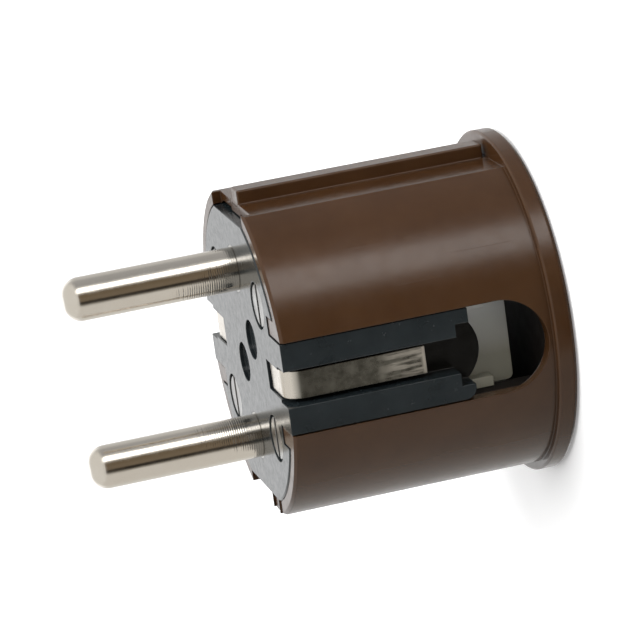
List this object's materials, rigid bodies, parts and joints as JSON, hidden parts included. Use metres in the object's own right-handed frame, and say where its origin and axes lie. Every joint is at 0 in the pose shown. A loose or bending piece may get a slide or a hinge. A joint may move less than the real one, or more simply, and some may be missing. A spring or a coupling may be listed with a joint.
{
  "type": "type f mains plug",
  "caption": "Flat rewirable mains plug with round pins and side earth contacts, a brown cup housing with a rim flange, and a side outlet for the cord.",
  "frame": {"origin": "centre of the flat back face, which the plug stands on", "axes": "+Z along the pins, X through both pins, Y through both side earth contacts"},
  "size_m": [0.0382, 0.0382, 0.0504],
  "materials": {
    "brown_moulding": "glossy moulded brown",
    "dark_moulding": "satin dark grey moulding",
    "white_moulding": "satin off-white moulding",
    "nickel_plated_brass": "bright nickel plate over brass",
    "plain_brass": "turned brass",
    "plated_steel": "zinc plated"
  },
  "bodies": {
    "root": {"housing": "brown_moulding", "contact_carrier": "dark_moulding", "line_pin": "nickel_plated_brass", "neutral_pin": "nickel_plated_brass", "line_clamp_plate": "plated_steel", "neutral_clamp_plate": "plated_steel", "line_terminal_screw": "plated_steel", "neutral_terminal_screw": "plated_steel", "earth_contact_near": "nickel_plated_brass", "earth_contact_far": "nickel_plated_brass", "earth_bridge": "nickel_plated_brass", "earth_rivet_near": "nickel_plated_brass", "earth_rivet_far": "nickel_plated_brass", "earth_bush": "plain_brass", "earth_clamp_plate": "plated_steel", "earth_terminal_screw": "plated_steel", "cord_clamp_bar": "white_moulding", "clamp_screw_1": "plated_steel", "clamp_screw_2": "plated_steel", "clamp_nut_1": "plated_steel", "clamp_nut_2": "plated_steel", "carrier_screw_1": "plated_steel", "carrier_screw_2": "plated_steel"}
  },
  "joints": []
}
